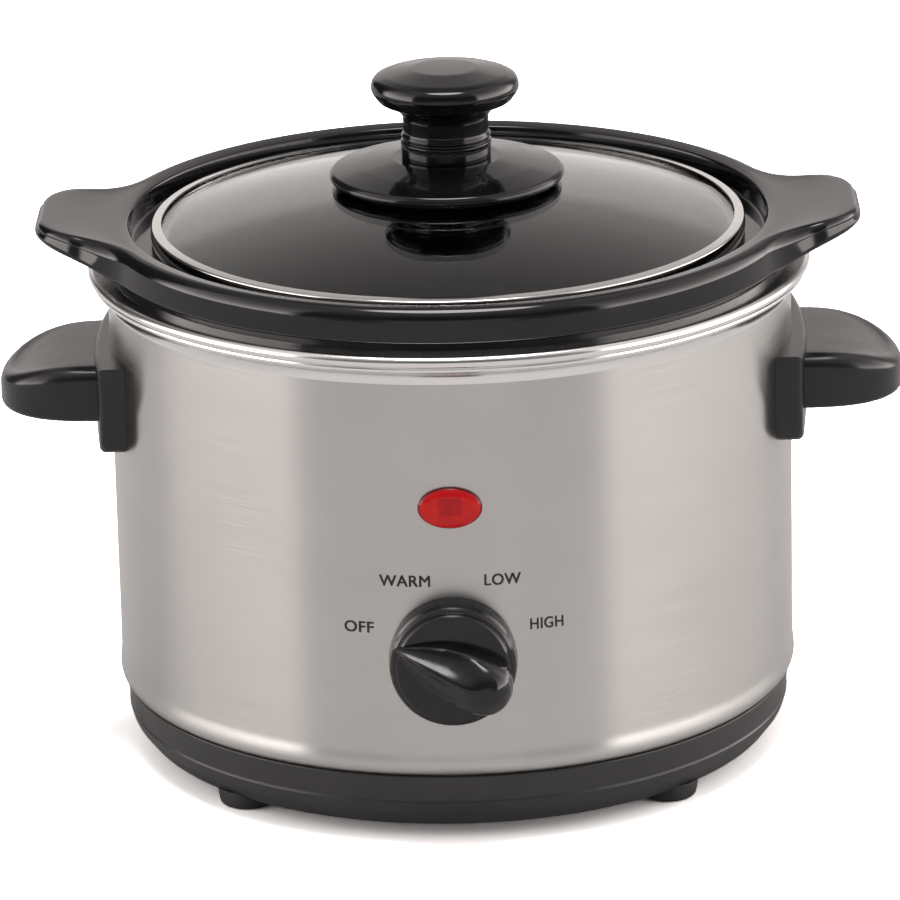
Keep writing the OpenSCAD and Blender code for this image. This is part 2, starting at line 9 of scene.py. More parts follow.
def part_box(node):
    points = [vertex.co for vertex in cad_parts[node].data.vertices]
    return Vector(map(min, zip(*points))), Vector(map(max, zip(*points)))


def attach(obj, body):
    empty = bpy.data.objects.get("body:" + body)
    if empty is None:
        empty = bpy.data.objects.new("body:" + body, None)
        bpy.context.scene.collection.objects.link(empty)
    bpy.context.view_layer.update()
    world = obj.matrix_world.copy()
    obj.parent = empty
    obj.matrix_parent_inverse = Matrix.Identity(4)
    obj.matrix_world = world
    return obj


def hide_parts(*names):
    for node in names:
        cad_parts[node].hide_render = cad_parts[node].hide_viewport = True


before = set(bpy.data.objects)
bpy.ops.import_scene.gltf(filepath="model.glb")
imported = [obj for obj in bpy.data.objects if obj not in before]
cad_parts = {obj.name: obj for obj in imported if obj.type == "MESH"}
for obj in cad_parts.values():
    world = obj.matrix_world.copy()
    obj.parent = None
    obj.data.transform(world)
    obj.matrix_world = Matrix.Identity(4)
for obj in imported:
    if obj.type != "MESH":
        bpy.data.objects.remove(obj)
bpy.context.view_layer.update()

# Shapes below are drawn in millimetres about the upright axis of the round body. That axis stands a little
# behind the frame's origin, so it is read from the wrap's box. The other places are read in the same way.
MM = 0.001
wrap_lo, wrap_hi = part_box("outer_wrap")
AX = (wrap_lo.y + wrap_hi.y) / 2
dial_lo, dial_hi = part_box("switch_shaft")
DIAL_Z = (dial_lo.z + dial_hi.z) / 2 / MM
lens_lo, lens_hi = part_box("indicator_lens")
LAMP_Z = (lens_lo.z + lens_hi.z) / 2 / MM
bush_lo, bush_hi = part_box("cord_bushing")
BUSH_Z = (bush_lo.z + bush_hi.z) / 2 / MM
WRAP_R = (wrap_hi.x - wrap_lo.x) / 2 / MM


# ---------------------------------------------------------------- camera
VIEW_ELEVATION, VIEW_TURN, VIEW_ROLL = 18.4176, 0.75, -1.3093  # degrees
VIEW_DISTANCE = 1.710  # metres
TARGET = Vector((-0.000865, 0.0, 0.08166))
SENSOR_WIDTH, FOCAL_LENGTH = 36, 243.46  # mm

cam_data = bpy.data.cameras.new("camera")
cam_data.sensor_width, cam_data.lens = SENSOR_WIDTH, FOCAL_LENGTH
cam_data.clip_start, cam_data.clip_end = 0.05, 40
camera = bpy.data.objects.new("camera", cam_data)
bpy.context.collection.objects.link(camera)
bpy.context.scene.camera = camera
el = math.radians(VIEW_ELEVATION)
turn = Matrix.Rotation(math.radians(VIEW_TURN), 4, "Z")
axis_shift = Vector((0, AX, 0))
eye = turn @ (TARGET + Vector((0, -math.cos(el), math.sin(el))) * VIEW_DISTANCE) + axis_shift
look = (turn @ TARGET + axis_shift) - eye
roll = Matrix.Rotation(math.radians(VIEW_ROLL), 4, "Z")
camera.matrix_world = Matrix.Translation(eye) @ look.to_track_quat("-Z", "Y").to_matrix().to_4x4() @ roll


# ---------------------------------------------------------------- shape helpers
def add(name, verts, faces, body, mat, replaces=(), sharp=35):
    """A smooth-shaded piece from points in mm about the axis; edges over sharp degrees stay crisp."""
    mesh = bpy.data.meshes.new(name)
    pts = np.asarray(verts, float) * MM
    pts[:, 1] += AX
    mesh.from_pydata(pts.tolist(), [], faces)
    bm = bmesh.new()
    bm.from_mesh(mesh)
    bmesh.ops.remove_doubles(bm, verts=bm.verts, dist=1e-6)
    bmesh.ops.recalc_face_normals(bm, faces=bm.faces)
    bm.to_mesh(mesh)
    bm.free()
    mesh.polygons.foreach_set("use_smooth", [True] * len(mesh.polygons))
    mesh.set_sharp_from_angle(angle=math.radians(sharp))
    mesh.update()
    obj = bpy.data.objects.new(name, mesh)
    bpy.context.collection.objects.link(obj)
    mesh.materials.append(mat)
    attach(obj, body)
    if replaces:
        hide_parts(*replaces)
    return obj


def arc(cx, cy, r, a0, a1, n):
    """n + 1 points of a circular arc, with its angles in degrees."""
    return [(cx + r * math.cos(math.radians(a0 + (a1 - a0) * i / n)),
             cy + r * math.sin(math.radians(a0 + (a1 - a0) * i / n))) for i in range(n + 1)]


def rounded(points, n=6):
    """Corners given as (r, z) or (r, z, fillet) become an outline with true rounded corners."""
    out = []
    for i, p in enumerate(points):
        f = p[2] if len(p) > 2 else 0
        if f <= 0 or i in (0, len(points) - 1):
            out.append((p[0], p[1]))
            continue
        c = Vector(p[:2])
        a, b = Vector(points[i - 1][:2]) - c, Vector(points[i + 1][:2]) - c
        la, lb = a.length, b.length
        a.normalize()
        b.normalize()
        half = math.acos(max(-1, min(1, a.dot(b)))) / 2
        if half > math.radians(89.5):  # nearly straight, so there is no corner to round
            out.append((p[0], p[1]))
            continue
        d = min(f / math.tan(half), la * 0.49, lb * 0.49)
        f = d * math.tan(half)
        centre = c + (a + b).normalized() * (f / math.sin(half))
        p0, p1 = c + a * d - centre, c + b * d - centre
        t0, t1 = math.atan2(p0.y, p0.x), math.atan2(p1.y, p1.x)
        while t1 - t0 > math.pi:
            t1 -= 2 * math.pi
        while t1 - t0 < -math.pi:
            t1 += 2 * math.pi
        for k in range(n + 1):
            t = t0 + (t1 - t0) * k / n
            out.append((centre.x + f * math.cos(t), centre.y + f * math.sin(t)))
    return out


def loft(rings, closed=False):
    """Faces between rings of equal length; a ring of one point is a pole; closed joins last to first."""
    verts, faces, starts = [], [], []
    for ring in rings:
        starts.append((len(verts), len(ring)))
        verts.extend(ring)
    pairs = list(zip(starts, starts[1:]))
    if closed:
        pairs.append((starts[-1], starts[0]))
    for (a, na), (b, nb) in pairs:
        n = max(na, nb)
        for i in range(n):
            j = (i + 1) % n
            if na == 1:
                faces.append((a, b + i, b + j))
            elif nb == 1:
                faces.append((a + i, a + j, b))
            else:
                faces.append((a + i, a + j, b + j, b + i))
    return verts, faces


def turned(profile, segs=192, closed=False):
    """An (r, z) outline turned about the upright axis."""
    rings = []
    for r, z in profile:
        if r < 1e-4:
            rings.append([(0, 0, z)])
        else:
            angles = [2 * math.pi * k / segs for k in range(segs)]
            rings.append([(r * math.cos(a), r * math.sin(a), z) for a in angles])
    return loft(rings, closed)


def face_forward(verts, height):
    """Turns shapes made about +Z so that they stand out along -Y, at a height."""
    return [(x, -z, y + height) for x, y, z in verts]


# ---------------------------------------------------------------- materials
class Nodes:
    """Node building for one material, with object coordinates and a Principled shader at hand."""

    def __init__(self, name):
        self.mat = bpy.data.materials.new(name)
        self.mat.use_nodes = True
        self.tree = self.mat.node_tree
        self.tree.nodes.clear()
        self.out = self.add("ShaderNodeOutputMaterial")
        self.bsdf = self.add("ShaderNodeBsdfPrincipled")
        self.link(self.bsdf.outputs[0], self.out.inputs[0])
        self.coord = self.add("ShaderNodeTexCoord").outputs["Object"]

    def add(self, kind, **values):
        node = self.tree.nodes.new(kind)
        for k, v in values.items():
            setattr(node, k, v)
        return node

    def link(self, a, b):
        self.tree.links.new(a, b)

    def math(self, op, a, b=0.0):
        node = self.add("ShaderNodeMath", operation=op)
        for slot, v in ((0, a), (1, b)):
            if hasattr(v, "links"):
                self.link(v, node.inputs[slot])
            else:
                node.inputs[slot].default_value = v
        return node.outputs[0]

    def noise(self, scale, detail=3.0, vector=None, roughness=0.5):
        node = self.add("ShaderNodeTexNoise")
        node.inputs["Scale"].default_value = scale
        node.inputs["Detail"].default_value = detail
        node.inputs["Roughness"].default_value = roughness
        self.link(vector if vector is not None else self.coord, node.inputs["Vector"])
        return node.outputs["Fac"]

    def remap(self, value, lo, hi, f0=0.3, f1=0.7):
        """The range f0 to f1 spread over lo to hi; noise mostly stays between 0.3 and 0.7."""
        node = self.add("ShaderNodeMapRange")
        self.link(value, node.inputs[0])
        for i, v in enumerate((f0, f1, lo, hi)):
            node.inputs[i + 1].default_value = v
        return node.outputs[0]

    def blend(self, fac, a, b):
        node = self.add("ShaderNodeMix", data_type="RGBA")
        self.link(fac, node.inputs["Factor"])
        for slot, c in (("A", a), ("B", b)):
            sock = [s for s in node.inputs if s.name == slot and s.type == "RGBA"][0]
            if hasattr(c, "links"):
                self.link(c, sock)
            else:
                sock.default_value = (*c, 1)
        return [s for s in node.outputs if s.type == "RGBA"][0]

    def bump(self, height, strength, distance):
        node = self.add("ShaderNodeBump")
        node.inputs["Strength"].default_value = strength
        node.inputs["Distance"].default_value = distance
        self.link(height, node.inputs["Height"])
        self.link(node.outputs[0], self.bsdf.inputs["Normal"])

    def round_axis(self, around, up):
        """Coordinates (angle, height) about the body's axis, scaled, with the join at the back."""
        xyz = self.add("ShaderNodeSeparateXYZ")
        self.link(self.coord, xyz.inputs[0])
        front = self.math("SUBTRACT", AX, xyz.outputs[1])
        angle = self.math("ARCTAN2", xyz.outputs[0], front)
        both = self.add("ShaderNodeCombineXYZ")
        self.link(self.math("MULTIPLY", angle, around), both.inputs[0])
        self.link(self.math("MULTIPLY", xyz.outputs[2], up), both.inputs[1])
        return both.outputs[0]


def plain(name, dark, light, rough, metal=0.0, scale=60.0, grain=900.0, bump=0.05, depth=0.00005,
          rough_spread=0.06):
    """A finish with soft colour variation, uneven gloss and fine surface grain."""
    n = Nodes(name)
    broad = n.noise(scale, 4.0)
    fine = n.noise(grain, 2.0)
    uneven = n.noise(scale * 2.3, 3.0)
    n.link(n.blend(n.remap(broad, 0, 1), dark, light), n.bsdf.inputs["Base Color"])
    n.link(n.remap(uneven, rough - rough_spread, rough + rough_spread), n.bsdf.inputs["Roughness"])
    n.bsdf.inputs["Metallic"].default_value = metal
    n.bump(fine, bump, depth)
    return n.mat


def brushed_steel():
    """Steel brushed round the body: fine level lines, and a gloss drawn out across them."""
    n = Nodes("brushed_steel")
    lines = n.noise(1.0, 4.0, n.round_axis(2.2, 5200), 0.62)
    broad = n.noise(1.0, 2.0, n.round_axis(3.0, 60))
    streak = n.math("ADD", n.math("MULTIPLY", lines, 0.7), n.math("MULTIPLY", broad, 0.3))
    tone = n.remap(streak, 0, 1, 0.35, 0.65)
    n.link(n.blend(tone, (0.605, 0.593, 0.575), (0.66, 0.648, 0.63)), n.bsdf.inputs["Base Color"])
    n.link(n.remap(lines, 0.21, 0.27), n.bsdf.inputs["Roughness"])
    n.bsdf.inputs["Metallic"].default_value = 1
    n.bsdf.inputs["Anisotropic"].default_value = 0.9
    n.bsdf.inputs["Anisotropic Rotation"].default_value = 0.25
    tangent = n.add("ShaderNodeTangent", direction_type="RADIAL", axis="Z")
    n.link(tangent.outputs[0], n.bsdf.inputs["Tangent"])
    n.bump(lines, 0.06, 0.00002)
    return n.mat


def polished_steel(name, rough, dark=(0.70, 0.695, 0.685), light=(0.78, 0.775, 0.765)):
    """Bright steel with faint marks of turning."""
    n = Nodes(name)
    lines = n.noise(1.0, 3.0, n.round_axis(9.0, 2600))
    n.link(n.blend(n.remap(lines, 0, 1), dark, light), n.bsdf.inputs["Base Color"])
    n.link(n.remap(n.noise(60, 2.0), rough * 0.9, rough * 1.1), n.bsdf.inputs["Roughness"])
    n.bsdf.inputs["Metallic"].default_value = 1
    n.bump(lines, 0.04, 0.00002)
    return n.mat


def glaze():
    """Black glaze with slightly uneven depth and a soft ripple."""
    n = Nodes("black_glaze")
    pools = n.remap(n.noise(28, 3.0), 0, 1)
    n.link(n.blend(pools, (0.0028, 0.0028, 0.0032), (0.0062, 0.006, 0.0064)), n.bsdf.inputs["Base Color"])
    n.link(n.remap(n.noise(70, 4.0), 0.045, 0.10), n.bsdf.inputs["Roughness"])
    n.bsdf.inputs["IOR"].default_value = 1.52
    n.bump(n.noise(160, 2.0), 0.045, 0.0004)
    return n.mat


def red_lens():
    """Red lens with painted shade at its border; the lamp's housing shows through as a darker block."""
    n = Nodes("red_lens")
    xyz = n.add("ShaderNodeSeparateXYZ")
    n.link(n.coord, xyz.inputs[0])
    # place on the oval face, 1 at its border, and distance from its middle
    x = n.math("DIVIDE", xyz.outputs[0], LENS_HALF_W * MM)
    z = n.math("DIVIDE", n.math("SUBTRACT", xyz.outputs[2], LAMP_Z * MM), LENS_HALF_H * MM)
    away = n.math("SQRT", n.math("ADD", n.math("MULTIPLY", x, x), n.math("MULTIPLY", z, z)))
    body = n.blend(n.remap(n.noise(260, 2.0), 0, 1), (0.48, 0.008, 0.010), (0.66, 0.015, 0.015))
    block = n.math("MULTIPLY", n.math("LESS_THAN", n.math("ABSOLUTE", x), 0.36),
                   n.math("LESS_THAN", n.math("ABSOLUTE", n.math("SUBTRACT", z, 0.12)), 0.42))
    body = n.blend(n.math("MULTIPLY", block, 0.45), body, (0.25, 0.004, 0.010))
    # painted shade: the colour runs to near black towards the oval's border, standing in for the shadow on
    # the lens's rim
    edge = n.remap(away, 0, 1, 0.90, 0.985)
    n.link(n.blend(edge, body, (0.020, 0.001, 0.002)), n.bsdf.inputs["Base Color"])
    n.link(n.remap(n.noise(90, 2.0), 0.05, 0.12), n.bsdf.inputs["Roughness"])
    n.bsdf.inputs["Emission Color"].default_value = (0.9, 0.02, 0.015, 1)
    n.bsdf.inputs["Emission Strength"].default_value = 0.05
    n.bsdf.inputs["Specular IOR Level"].default_value = 0.3
    n.bump(n.noise(700, 1.0), 0.05, 0.0002)
    return n.mat


def clear_glass():
    n = Nodes("clear_glass")
    cast = n.remap(n.noise(15, 2.0), 0, 1)
    n.link(n.blend(cast, (0.90, 0.93, 0.925), (0.94, 0.96, 0.955)), n.bsdf.inputs["Base Color"])
    n.link(n.remap(n.noise(40, 3.0), 0.0, 0.012), n.bsdf.inputs["Roughness"])
    n.bsdf.inputs["Transmission Weight"].default_value = 1
    n.bsdf.inputs["IOR"].default_value = 1.5
    return n.mat


LENS_HALF_W, LENS_HALF_H = 8.65, 5.75

MAT = {
    "wrap": brushed_steel(),
    "rim": polished_steel("rim_steel", 0.19, (0.90, 0.89, 0.885), (0.95, 0.94, 0.935)),
    "inner": polished_steel("vessel_steel", 0.22),
    "ring": polished_steel("ring_steel", 0.10),
    "glaze": glaze(),
    "gloss": plain("gloss_black", (0.0035, 0.0034, 0.0040), (0.0065, 0.0062, 0.0070), 0.075,
                   scale=80, grain=500, bump=0.03, depth=0.0002, rough_spread=0.025),
    "satin": plain("satin_black", (0.0095, 0.0093, 0.0100), (0.0145, 0.0142, 0.0150), 0.23,
                   scale=70, grain=1600, bump=0.08, depth=0.00005, rough_spread=0.04),
    "dial": plain("dial_black", (0.0065, 0.0060, 0.0075), (0.0110, 0.0100, 0.0120), 0.14,
                  scale=150, grain=1600, bump=0.05, depth=0.00005, rough_spread=0.04),
    "base": plain("base_plastic", (0.029, 0.0285, 0.029), (0.037, 0.036, 0.036), 0.29,
                  scale=55, grain=2200, bump=0.07, depth=0.00004, rough_spread=0.015),
    "rubber": plain("rubber", (0.030, 0.029, 0.030), (0.048, 0.046, 0.048), 0.62,
                    scale=220, grain=1800, bump=0.3, depth=0.0001, rough_spread=0.08),
    "silicone": plain("grey_silicone", (0.16, 0.16, 0.165), (0.22, 0.22, 0.225), 0.5,
                      scale=200, grain=1500),
    "zinc": plain("zinc", (0.42, 0.43, 0.45), (0.58, 0.59, 0.60), 0.33, metal=1, scale=260, grain=1400),
    "sheet": plain("sheet_steel", (0.46, 0.46, 0.455), (0.60, 0.60, 0.59), 0.30,
                   metal=1, scale=90, grain=1200),
    "band": plain("band_sheet", (0.30, 0.285, 0.26), (0.44, 0.42, 0.39), 0.42,
                  metal=1, scale=60, grain=1100),
    "brass": plain("brass", (0.62, 0.43, 0.17), (0.78, 0.57, 0.25), 0.28,
                   metal=1, scale=240, grain=1300),
    "phenolic": plain("phenolic", (0.055, 0.030, 0.016), (0.085, 0.048, 0.026), 0.4,
                      scale=320, grain=1200),
    "sleeve": plain("fuse_sleeve", (0.55, 0.53, 0.48), (0.68, 0.66, 0.60), 0.6,
                    scale=500, grain=2600, bump=0.4),
    "porcelain": plain("block_white", (0.70, 0.69, 0.66), (0.80, 0.79, 0.76), 0.35,
                       scale=180, grain=900),
    "white": plain("wire_white", (0.66, 0.66, 0.65), (0.76, 0.76, 0.75), 0.42, scale=240, grain=1500),
    "brown": plain("wire_brown", (0.11, 0.045, 0.02), (0.16, 0.07, 0.035), 0.42, scale=240, grain=1500),
    "blue": plain("wire_blue", (0.03, 0.09, 0.36), (0.05, 0.13, 0.46), 0.42, scale=240, grain=1500),
    "green": plain("wire_green", (0.05, 0.26, 0.06), (0.09, 0.36, 0.10), 0.42, scale=240, grain=1500),
    "neon": plain("lamp_glass", (0.72, 0.40, 0.28), (0.84, 0.50, 0.36), 0.12, scale=300, grain=800),
    "plate": plain("blank_plate", (0.60, 0.60, 0.59), (0.72, 0.72, 0.71), 0.38,
                   metal=0.9, scale=150, grain=1500),
    "lens": red_lens(),
    "glass": clear_glass(),
    "ink": plain("printed_ink", (0.010, 0.010, 0.010), (0.022, 0.022, 0.022), 0.5,
                 scale=300, grain=2500),
}

# the record's material slot and this scene's finish for every CAD node
FINISH = {
    "base_pan": "base", "feet": "rubber", "foot_screws": "zinc", "outer_wrap": "wrap",
    "heating_vessel": "inner", "tie_washer": "zinc", "stud_nuts": "zinc", "heat_shield": "sheet",
    "heater_band": "band", "clamp_screw": "zinc", "clamp_nut": "zinc", "thermal_fuse": "sleeve",
    "fuse_clip": "sheet", "handle_left": "satin", "handle_right": "satin", "handle_plates": "sheet",
    "handle_screws": "zinc", "switch_bracket": "sheet", "bracket_screws": "zinc",
    "switch_body": "phenolic", "switch_nut": "brass", "indicator_lens": "lens",
    "indicator_clip": "sheet", "neon_lamp": "neon", "lamp_leads": "white",
    "terminal_block": "porcelain", "terminal_screws": "brass", "block_screw": "zinc",
    "lead_live": "brown", "lead_heater": "brown", "lead_neutral": "blue", "lead_earth": "green",
    "earth_tag": "brass", "cord_bushing": "rubber", "rating_plate": "plate", "control_knob": "dial",
    "knob_spring": "sheet", "switch_shaft": "brass", "switch_rotor": "phenolic", "crock": "glaze",
    "lid_glass": "glass", "lid_ring": "ring", "lid_flange": "gloss", "lid_knob": "gloss",
    "lid_screw": "zinc", "lid_washer": "sheet", "lid_seal": "silicone",
}
for name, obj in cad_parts.items():
    for slot in obj.material_slots:
        slot.material = MAT[FINISH[name]]


# ---------------------------------------------------------------- housing
BASE_UNDER, BASE_TOP, BASE_FLOOR, SPIGOT_TOP = 3.9, 20.0, 7.6, 24.0
WRAP_TOP, WRAP_T, CURL_R, FLARE = 139.4, 0.6, 3.5, 0.45
LIP_X, LIP_Z, COVE_R, COVE_Z, RIM_Z = 98.6, 138.6, 5.2, 131.6, 140.2
FOOT_AT = 57.98  # a foot's distance from the axis, along X and along Y


def base_pan():
    """Dish with a bevelled lower edge, a ledge half way up and a spigot inside the wrap."""
    outline = rounded([(0, BASE_UNDER), (88.6, BASE_UNDER, 3.2), (92.5, 9.0, 3.4), (93.4, 12.0, 0.55),
                       (93.05, 12.6, 0.15), (93.95, BASE_TOP, 0.4), (89.5, BASE_TOP, 0.3),
                       (89.5, SPIGOT_TOP, 0.3), (88.0, SPIGOT_TOP, 0.3), (88.0, 17.5, 0.3), (90.8, 14.7, 0.5),
                       (90.8, 9.6, 1.5), (88.8, BASE_FLOOR, 0.5), (0, BASE_FLOOR)], 8)
    verts, faces = turned(outline, 256)
    add("base_ring", verts, faces, "housing", MAT["base"], ("base_pan",), sharp=50)


def cut_oval(obj, height, w, h, y0, y1):
    """Cuts an oval hole along Y, from y0 to y1, through a piece."""
    bm = bmesh.new()
    bmesh.ops.create_cone(bm, cap_ends=True, segments=48, radius1=0.5, radius2=0.5, depth=1)
    place = Matrix.Translation((0, AX + (y0 + y1) / 2 * MM, height * MM))
    size = Matrix.Diagonal((w * MM, (y1 - y0) * MM, h * MM, 1))
    bmesh.ops.transform(bm, matrix=place @ size @ Matrix.Rotation(math.pi / 2, 4, "X"), verts=bm.verts)
    mesh = bpy.data.meshes.new("cutter")
    bm.to_mesh(mesh)
    bm.free()
    cutter = bpy.data.objects.new("cutter", mesh)
    bpy.context.collection.objects.link(cutter)
    mod = obj.modifiers.new("hole", "BOOLEAN")
    mod.object, mod.operation, mod.solver = cutter, "DIFFERENCE", "EXACT"
    done = bpy.data.meshes.new_from_object(obj.evaluated_get(bpy.context.evaluated_depsgraph_get()))
    obj.modifiers.clear()
    obj.data = done
    bpy.data.objects.remove(cutter)


def wrap():
    """Sheet sleeve that flares a little above the curl at its foot, with its three holes."""
    bead = WRAP_R + FLARE - CURL_R
    curl_z = BASE_TOP + CURL_R
    outline = [(WRAP_R, z) for z in (WRAP_TOP, 136, 132.5, *range(130, 29, -10), 28.5)]
    for k in range(8):
        outline.append((WRAP_R + FLARE * (0.5 - 0.5 * math.cos(math.pi * k / 8)), 28 - 4.5 * k / 8))
    outline += arc(bead, curl_z, CURL_R, 0, -90, 12)
    outline += [(WRAP_R - 5, BASE_TOP), (WRAP_R - 5, BASE_TOP + WRAP_T)]
    outline += arc(bead, curl_z, CURL_R - WRAP_T, -90, 0, 8)
    outline += [(WRAP_R - WRAP_T, z) for z in (30, 60, 90, 120, WRAP_TOP)]
    verts, faces = turned(outline, 256, closed=True)
    obj = add("steel_wrap", verts, faces, "housing", MAT["wrap"], ("outer_wrap",), sharp=40)
    cut_oval(obj, DIAL_Z, 9.6, 9.6, -100, -80)
    cut_oval(obj, LAMP_Z, 15.7, 9.9, -100, -80)
    cut_oval(obj, BUSH_Z, 12.9, 12.9, 80, 100)
    obj.data.set_sharp_from_angle(angle=math.radians(40))


def vessel():
    """Inner pan, with a rolled lip that runs down into a cove on the wrap."""
    outline = rounded([(0, 64), (85, 64, 14), (85, WRAP_TOP, 0.3)], 12)
    outline += arc(LIP_X, LIP_Z, 0.8, 90, -60, 8)
    outline += arc(WRAP_R + COVE_R, COVE_Z, COVE_R, 100, 180, 10)
    outline += arc(WRAP_R + COVE_R, COVE_Z, 4.6, 180, 104, 12)
    outline += arc(LIP_X, LIP_Z, 1.6, -70, 90, 14)
    outline += rounded([(97, RIM_Z), (84.2, RIM_Z, 1.4), (84.2, 64.8, 13.2), (0, 64.8)], 12)
    verts, faces = turned(outline, 256)
    add("vessel_liner", verts, faces, "housing", MAT["rim"], ("heating_vessel",), sharp=40)


def foot(i, sx, sy):
    """Round rubber foot with a recess for its screw."""
    outline = rounded([(0, 2.4), (3.6, 2.4, 0.2), (3.6, 0.0, 0.4), (7.6, 0.0, 1.6), (8.4, 4.6, 0.5),
                       (8.4, 5.2), (0, 5.2)], 6)
    verts, faces = turned(outline, 64)
    verts = [(x + sx * FOOT_AT, y + sy * FOOT_AT, z) for x, y, z in verts]
    add(f"foot_{i}", verts, faces, "housing", MAT["rubber"], ("feet",), sharp=50)


PLATE_HALF, PLATE_LOW, PLATE_TOP, PLATE_X = 32.5, 92.2, 117.5, 99.2
LEDGE_ROOT, LEDGE_HALF, LEDGE_TIP, LEDGE_LOW, LEDGE_TOP = 96.0, 25.2, 126.0, 99.8, 115.2


def ledge(side, sign):
    """Half-oval grip whose top falls towards the tip, with a broad upper fillet and a small lower one."""
    upper, lower, straight = 4.4, 1.8, 97.0
    squareness = (0.76, 0.86)  # 1 is a true ellipse, less is squarer
    fall, fall_over, fall_power = 5.4, 24.5, 2.8

    def outline(inset):
        """Half-oval plan moved in by inset, closed by a straight line inside the plate."""
        half, reach = LEDGE_HALF - inset, LEDGE_TIP - straight - inset
        oval = []
        for a in range(-90, 91, 2):
            c, s = math.cos(math.radians(a)), math.sin(math.radians(a))
            oval.append((straight + reach * max(c, 0.0) ** squareness[0],
                         half * math.copysign(abs(s) ** squareness[1], s)))
        return [(LEDGE_ROOT, -half)] + oval + [(LEDGE_ROOT, half)]

    def top_at(x):
        return LEDGE_TOP - fall * max(0.0, (x - straight) / fall_over) ** fall_power

    rings = [[(x, y, LEDGE_LOW) for x, y in outline(inset)] for inset in (20, 9, lower)]
    for k in range(1, 8):
        a = math.radians(90 * k / 7)
        z = LEDGE_LOW + lower * (1 - math.cos(a))
        rings.append([(x, y, z) for x, y in outline(lower * (1 - math.sin(a)))])
    inner = outline(upper)
    for k in range(13):
        a = math.radians(90 * k / 12)
        ring = outline(upper * (1 - math.cos(a)))
        drop = upper * 0.92 * (1 - math.sin(a))
        rings.append([(x, y, top_at(ix) - drop) for (x, y), (ix, _) in zip(ring, inner)])
    for inset in (8, 12, 16, 20, 24):
        rings.append([(x, y, top_at(x)) for x, y in outline(inset)])
    verts, faces = loft(rings)
    count = len(rings[0])
    faces.append(tuple(range(count)))
    faces.append(tuple(range(len(verts) - count, len(verts))))
    verts = [(sign * x, sign * y, z) for x, y, z in verts]
    add(f"handle_{side}_grip", verts, faces, "housing", MAT["satin"], (f"handle_{side}",), sharp=32)


def plate(side, sign):
    """Mounting plate against the wrap, slightly bowed, with soft edges and rounded lower corners."""
    corner, edge, bow, gap = 5.0, 1.7, 200.0, 0.03
    middle = (PLATE_LOW + PLATE_TOP) / 2

    def border(inset):
        """Upright outline as (y, z) moved in by inset, anticlockwise from the lower left."""
        half, low, high = PLATE_HALF - inset, PLATE_LOW + inset, PLATE_TOP - inset
        r = max(corner - inset, 0.5)
        pts = arc(-half + r, low + r, r, 180, 270, 12) + arc(half - r, low + r, r, 270, 360, 12)
        steps = [low + r + (high - low - r) * k / 10 for k in range(1, 11)]
        pts += [(half, z) for z in steps]
        pts += [(half - 2 * half * k / 24, high) for k in range(1, 25)]
        pts += [(-half, z) for z in reversed(steps[:-1])]
        return pts

    def wall(y):
        return math.sqrt(WRAP_R ** 2 - y * y)

    def outer(y):
        return PLATE_X - y * y / (2 * bow)

    def on_wall(shrink):
        return [(wall(y * shrink) + gap, y * shrink, middle + (z - middle) * shrink) for y, z in border(0)]

    rings = [[(wall(0) + gap, 0, middle)], on_wall(0.5), on_wall(1.0)]
    for k in range(9):
        a = math.radians(90 * k / 8)
        ring = border(edge * (1 - math.cos(a)))
        rings.append([(outer(y) - edge * (1 - math.sin(a)), y, z) for y, z in ring])
    flat = border(edge)
    for shrink in (0.75, 0.5, 0.25):
        rings.append([(outer(y * shrink), y * shrink, middle + (z - middle) * shrink) for y, z in flat])
    rings.append([(outer(0), 0, middle)])
    verts, faces = loft(rings)
    verts = [(sign * x, sign * y, z) for x, y, z in verts]
    piece = add(f"handle_{side}_plate", verts, faces, "housing", MAT["satin"], sharp=32)


def bushing():
    """Rubber inlet bushing with a groove for the wrap's edge and a collar outside."""
    outline = rounded([(3.6, 88), (5.6, 88, 0.3), (5.6, 90.5), (8.6, 90.5, 0.3), (8.6, 93.8, 0.3),
                       (6.4, 93.8), (6.4, 95.0), (9.6, 95.0), (9.6, 98.0, 0.9), (6.4, 98.2, 0.5),
                       (5.6, 102.0, 0.7), (3.6, 102.0, 0.6)], 5)
    verts, faces = turned(outline, 72, closed=True)
    verts = [(x, z, y + BUSH_Z) for x, y, z in verts]
    add("inlet_bushing", verts, faces, "housing", MAT["rubber"], ("cord_bushing",), sharp=50)


def lens():
    """Oval lens with a domed face and a narrower neck through the wrap."""
    back, neck, shoulder, brim, face = 89.4, 94.0, 94.2, 95.3, 97.2
    angles = [2 * math.pi * k / 96 for k in range(96)]

    def oval(scale, out):
        return [(LENS_HALF_W * scale * math.cos(a), -out, LAMP_Z + LENS_HALF_H * scale * math.sin(a))
                for a in angles]

    rings = [[(0, -back, LAMP_Z)], oval(0.9, back), oval(0.9, neck), oval(1.0, shoulder), oval(1.0, brim)]
    for k in range(1, 15):
        rise = math.radians(90 * k / 15)
        rings.append(oval(math.cos(rise) ** 0.8, brim + (face - brim) * math.sin(rise)))
    rings.append([(0, -face, LAMP_Z)])
    verts, faces = loft(rings)
    add("lamp_lens", verts, faces, "housing", MAT["lens"], ("indicator_lens",), sharp=50)


# ---------------------------------------------------------------- control knob
DIAL_R, DIAL_BACK, DIAL_FACE = 17.3, 95.6, 104.5  # radius, and distances from the axis along -Y
DIAL_INNER, DIAL_WEB, SHAFT_R, SHAFT_TIP = 14.4, 100.5, 3.05, 111.6
DIAL_REST = 157.5  # degrees from +X to the grip's thin end, at off
GRIP_BACK, GRIP_POINT = -16.7, 16.6


